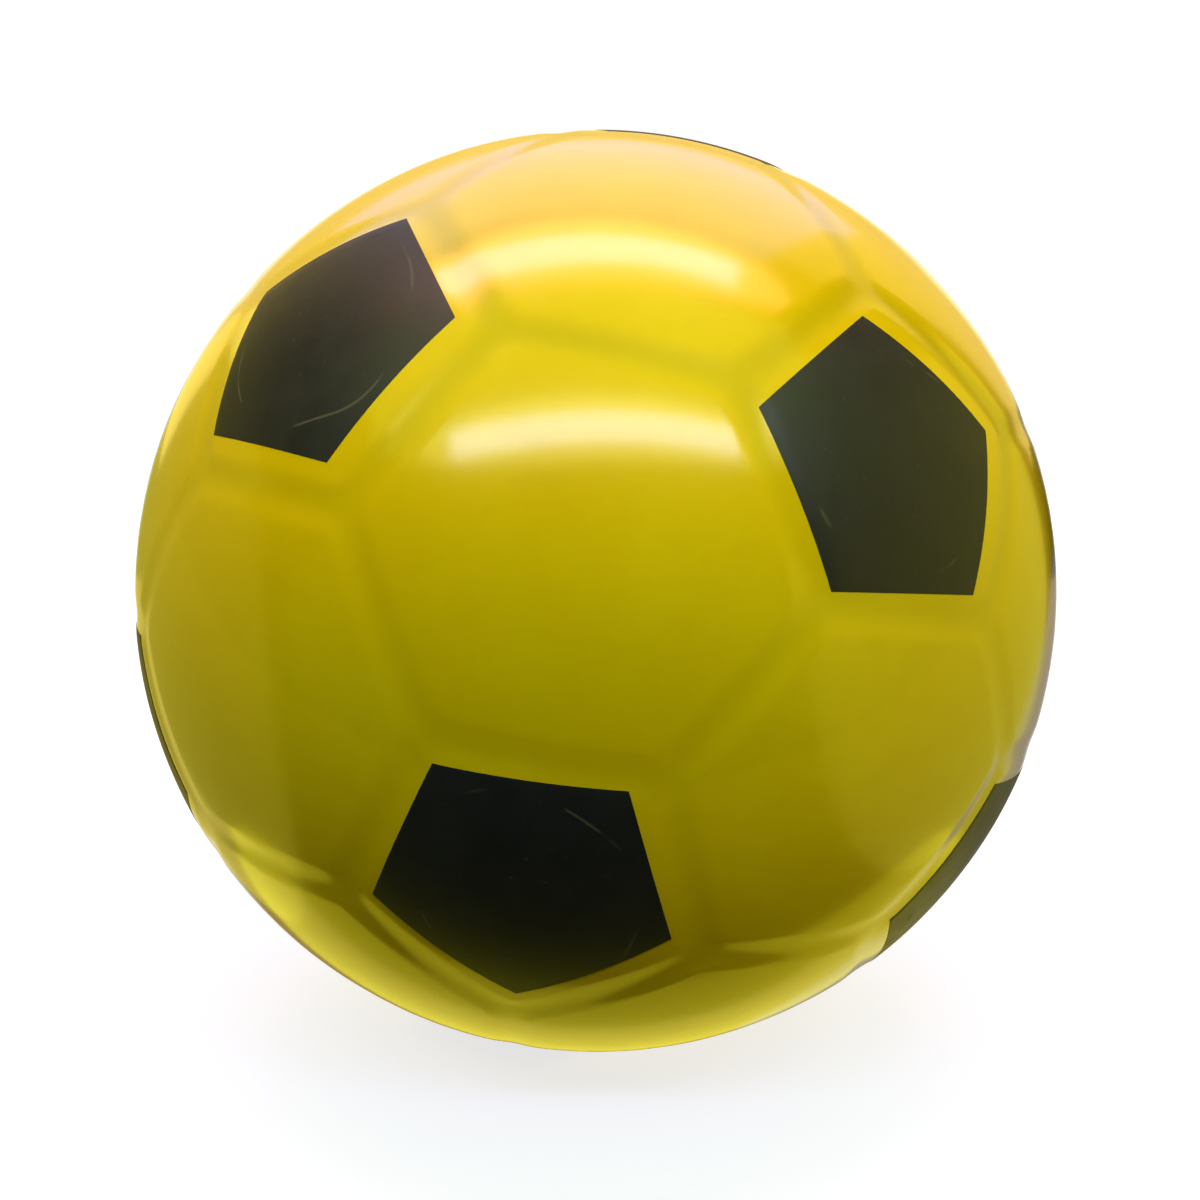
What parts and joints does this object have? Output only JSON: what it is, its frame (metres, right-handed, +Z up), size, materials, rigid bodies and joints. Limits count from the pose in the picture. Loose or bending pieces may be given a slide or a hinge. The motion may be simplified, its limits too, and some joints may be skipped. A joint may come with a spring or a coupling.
{
  "type": "stress ball",
  "caption": "Soft foam hand-exercise ball with a smooth coat moulded in football panels and printed pentagons, which flattens when squeezed.",
  "frame": {"origin": "centre of the ball", "axes": "+Z runs up through the middle of the top pentagon, square to the mould's parting line; -Y points towards the middle of a pentagon of the lower ring, the side that faces the viewer"},
  "size_m": [0.0628, 0.063, 0.063],
  "materials": {
    "coat": "smooth saturated yellow polyurethane coat, satin to semi-gloss",
    "ink": "black printed ink, satin",
    "foam": "cream open-cell polyurethane foam, matt"
  },
  "bodies": {
    "lower_half": {"foam_core": "foam", "coat_lower": "coat", "pentagon_print_bottom": "ink", "pentagon_print_lower_1": "ink", "pentagon_print_lower_2": "ink", "pentagon_print_lower_3": "ink", "pentagon_print_lower_4": "ink", "pentagon_print_lower_5": "ink"},
    "upper_half": {"coat_upper": "coat", "pentagon_print_top": "ink", "pentagon_print_upper_1": "ink", "pentagon_print_upper_2": "ink", "pentagon_print_upper_3": "ink", "pentagon_print_upper_4": "ink", "pentagon_print_upper_5": "ink"}
  },
  "joints": [
    {"name": "squeeze", "type": "slide", "parent": "lower_half", "child": "upper_half", "axis": [0, 0, -1], "range_m": [0, 0.022], "stiffness_N_per_m": 2000, "deforming": ["foam_core", "coat_lower", "coat_upper", "pentagon_print_bottom", "pentagon_print_lower_1", "pentagon_print_lower_2", "pentagon_print_lower_3", "pentagon_print_lower_4", "pentagon_print_lower_5", "pentagon_print_top", "pentagon_print_upper_1", "pentagon_print_upper_2", "pentagon_print_upper_3", "pentagon_print_upper_4", "pentagon_print_upper_5"]}
  ]
}
